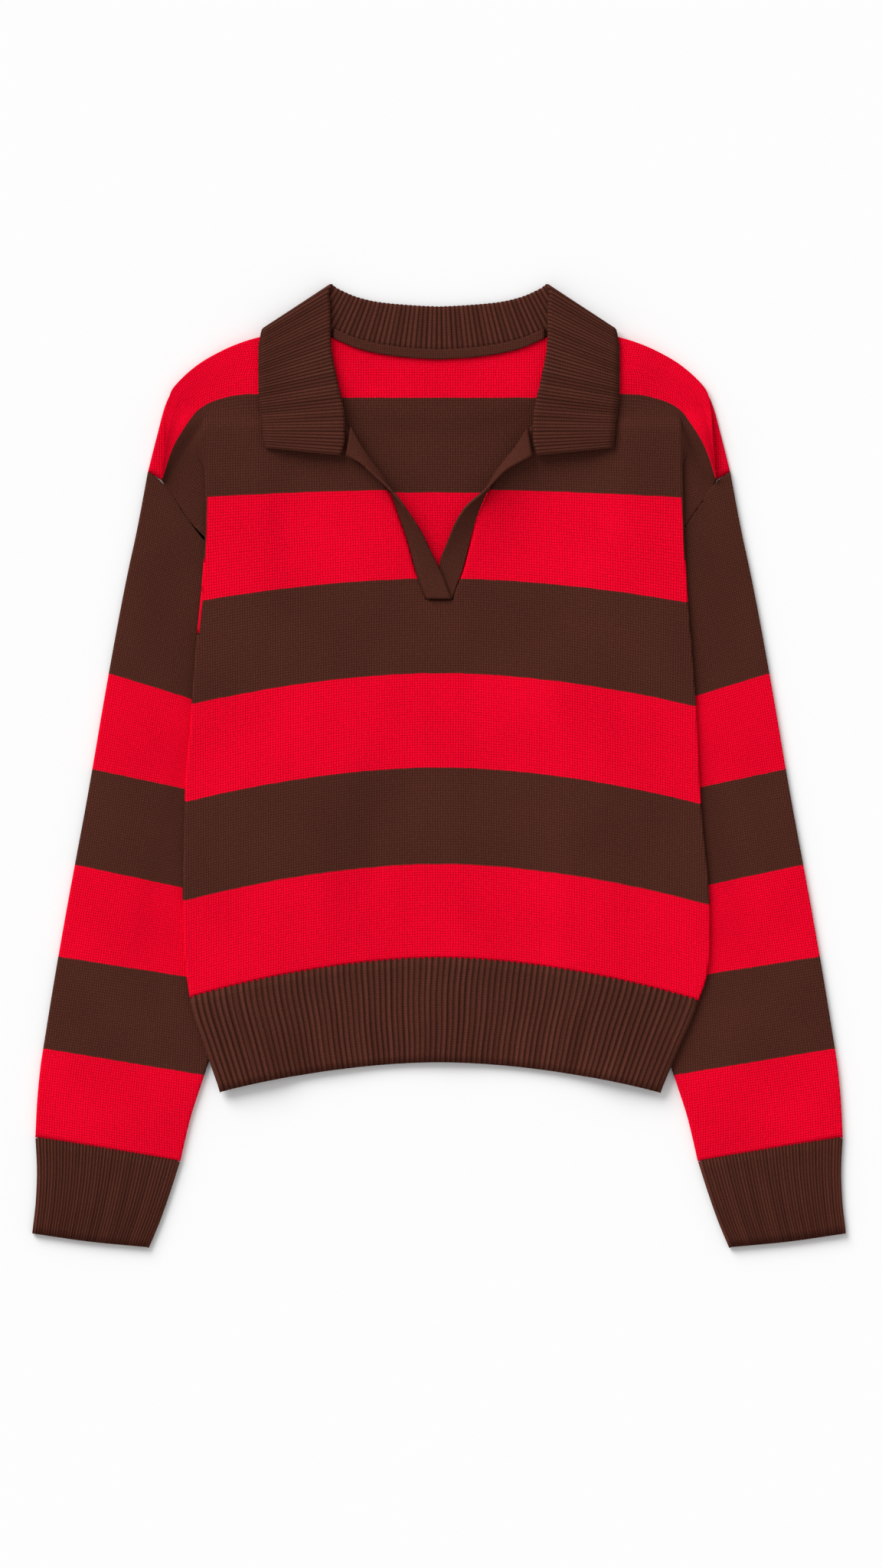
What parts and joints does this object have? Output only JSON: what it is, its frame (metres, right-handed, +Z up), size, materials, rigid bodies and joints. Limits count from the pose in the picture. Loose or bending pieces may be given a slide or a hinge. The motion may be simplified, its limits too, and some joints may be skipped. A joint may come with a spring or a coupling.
{
  "type": "sweater",
  "caption": "Long-sleeved striped knit sweater with a ribbed polo collar and an open buttonless V placket, laid flat on its back.",
  "frame": {"origin": "middle of the flat-laid sweater's outline, on the surface it lies on", "axes": "+X from the sleeve on the left of the picture to the one on the right, +Y from the hem to the collar, +Z up through the cloth, out of the sweater's front"},
  "size_m": [0.6378, 0.7546, 0.0186],
  "materials": {
    "striped_knit": "soft matte jersey knit in red and brown stripes",
    "brown_rib": "soft matte ribbed knit, dark brown",
    "brown_knit": "soft matte plain knit, dark brown"
  },
  "bodies": {
    "root": {"front_panel": "striped_knit", "back_panel": "striped_knit", "left_sleeve": "striped_knit", "right_sleeve": "striped_knit", "left_cuff": "brown_rib", "right_cuff": "brown_rib", "hem_front": "brown_rib", "hem_back": "brown_rib", "collar": "brown_rib", "placket_left": "brown_knit", "placket_right": "brown_knit", "neck_tape": "brown_knit"}
  },
  "joints": []
}
